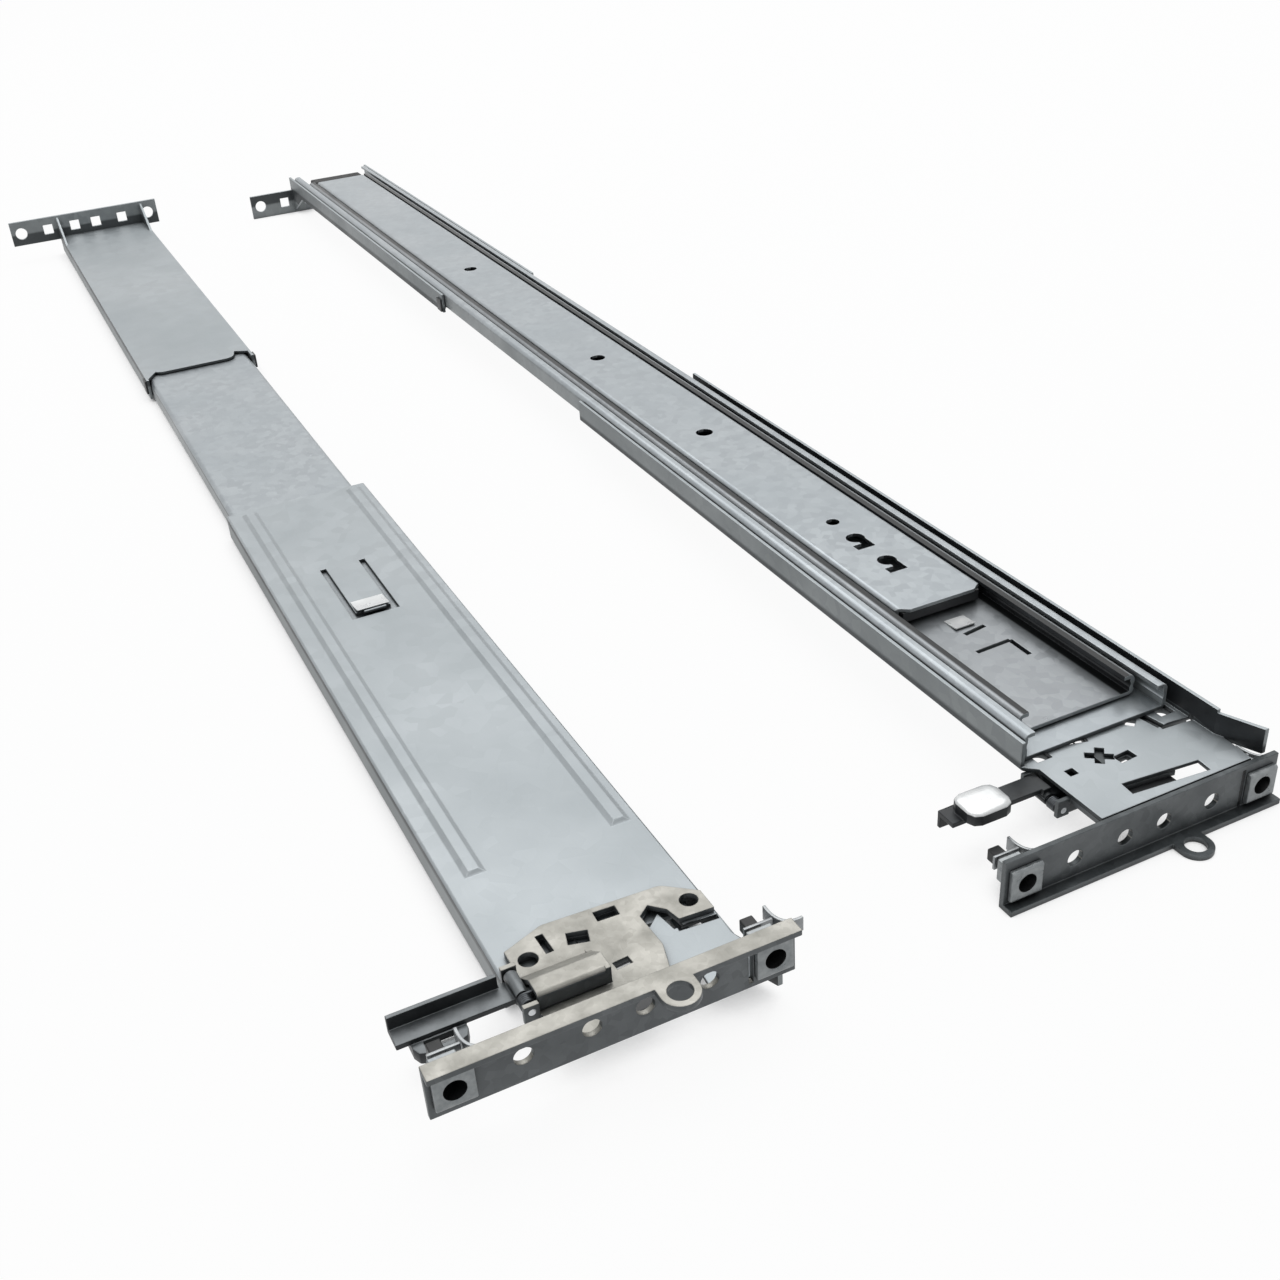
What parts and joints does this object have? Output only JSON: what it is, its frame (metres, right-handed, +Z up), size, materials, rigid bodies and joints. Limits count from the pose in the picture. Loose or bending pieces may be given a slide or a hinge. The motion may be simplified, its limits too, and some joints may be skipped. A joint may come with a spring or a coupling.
{
  "type": "sliding server rail pair",
  "caption": "Pair of telescoping ball-bearing server rails for a four-post rack, with pinned front flanges, finger latches and sliding rear brackets.",
  "frame": {"origin": "centre of the pair's bounding box at floor level", "axes": "+Z up, +Y along the rails from the front flanges to the rear ones, +X from the left rail to the right one"},
  "size_m": [0.2408, 0.7808, 0.0234],
  "materials": {
    "galvanised_sheet": "galvanised steel sheet, bluish grey with a faint mottle",
    "bracket_zinc": "zinc plated pressed steel, slightly warm",
    "slide_zinc": "roll-formed steel with bright zinc plating",
    "lever_zinc": "dark zinc plated pressed lever steel",
    "spring_steel": "dark spring steel strip and wire",
    "ball_steel": "polished hardened steel",
    "pin_steel": "turned and milled steel, zinc plated",
    "guide_plastic": "black moulded acetal",
    "bumper_rubber": "black moulded rubber"
  },
  "bodies": {
    "root": {"left_front_support": "galvanised_sheet", "left_front_bracket": "bracket_zinc", "left_slide_channel": "galvanised_sheet", "left_mounting_pins": "pin_steel", "left_pin_clips": "spring_steel", "left_latch_pin": "ball_steel", "left_latch_spring": "spring_steel", "left_rear_bumper": "bumper_rubber", "right_front_support": "galvanised_sheet", "right_front_bracket": "bracket_zinc", "right_slide_channel": "galvanised_sheet", "right_mounting_pins": "pin_steel", "right_pin_clips": "spring_steel", "right_latch_pin": "ball_steel", "right_latch_spring": "spring_steel", "right_rear_bumper": "bumper_rubber"},
    "left_middle": {"left_middle_member": "slide_zinc"},
    "left_inner": {"left_inner_member": "slide_zinc"},
    "left_outer_cage": {"left_outer_cage": "spring_steel", "left_outer_balls": "ball_steel"},
    "left_inner_cage": {"left_inner_cage": "spring_steel", "left_inner_balls": "ball_steel"},
    "left_rear": {"left_rear_bracket": "galvanised_sheet", "left_rear_guides": "guide_plastic"},
    "left_latch": {"left_latch_lever": "lever_zinc"},
    "right_middle": {"right_middle_member": "slide_zinc"},
    "right_inner": {"right_inner_member": "slide_zinc"},
    "right_outer_cage": {"right_outer_cage": "spring_steel", "right_outer_balls": "ball_steel"},
    "right_inner_cage": {"right_inner_cage": "spring_steel", "right_inner_balls": "ball_steel"},
    "right_rear": {"right_rear_bracket": "galvanised_sheet", "right_rear_guides": "guide_plastic"},
    "right_latch": {"right_latch_lever": "lever_zinc"}
  },
  "joints": [
    {"name": "left_middle_slide", "type": "slide", "parent": "root", "child": "left_middle", "axis": [0, -1, 0], "range_m": [0, 0.34]},
    {"name": "left_inner_slide", "type": "slide", "parent": "left_middle", "child": "left_inner", "axis": [0, -1, 0], "range_m": [0, 0.33]},
    {"name": "left_outer_cage_roll", "type": "slide", "parent": "root", "child": "left_outer_cage", "axis": [0, -1, 0], "range_m": [0, 0.17]},
    {"name": "left_inner_cage_roll", "type": "slide", "parent": "left_middle", "child": "left_inner_cage", "axis": [0, -1, 0], "range_m": [0, 0.165]},
    {"name": "left_depth_slide", "type": "slide", "parent": "root", "child": "left_rear", "axis": [0, 1, 0], "range_m": [0, 0.13]},
    {"name": "left_latch_hinge", "type": "hinge", "parent": "root", "child": "left_latch", "pos_m": [-0.09105, -0.35695, 0.0133], "axis": [0, 1, 0], "range_deg": [0, 12], "stiffness_Nm_per_rad": 0.02, "springref_deg": -17.19},
    {"name": "right_middle_slide", "type": "slide", "parent": "root", "child": "right_middle", "axis": [0, -1, 0], "range_m": [0, 0.34]},
    {"name": "right_inner_slide", "type": "slide", "parent": "right_middle", "child": "right_inner", "axis": [0, -1, 0], "range_m": [0, 0.33]},
    {"name": "right_outer_cage_roll", "type": "slide", "parent": "root", "child": "right_outer_cage", "axis": [0, -1, 0], "range_m": [0, 0.17]},
    {"name": "right_inner_cage_roll", "type": "slide", "parent": "right_middle", "child": "right_inner_cage", "axis": [0, -1, 0], "range_m": [0, 0.165]},
    {"name": "right_depth_slide", "type": "slide", "parent": "root", "child": "right_rear", "axis": [0, 1, 0], "range_m": [0, 0.13]},
    {"name": "right_latch_hinge", "type": "hinge", "parent": "root", "child": "right_latch", "pos_m": [0.05595, -0.35695, 0.0101], "axis": [0, -1, 0], "range_deg": [0, 12], "stiffness_Nm_per_rad": 0.02, "springref_deg": -17.19}
  ],
  "couplings": [
    {"joint": "left_outer_cage_roll", "follows": "left_middle_slide", "ratio": 0.5},
    {"joint": "left_inner_cage_roll", "follows": "left_inner_slide", "ratio": 0.5},
    {"joint": "right_outer_cage_roll", "follows": "right_middle_slide", "ratio": 0.5},
    {"joint": "right_inner_cage_roll", "follows": "right_inner_slide", "ratio": 0.5}
  ]
}
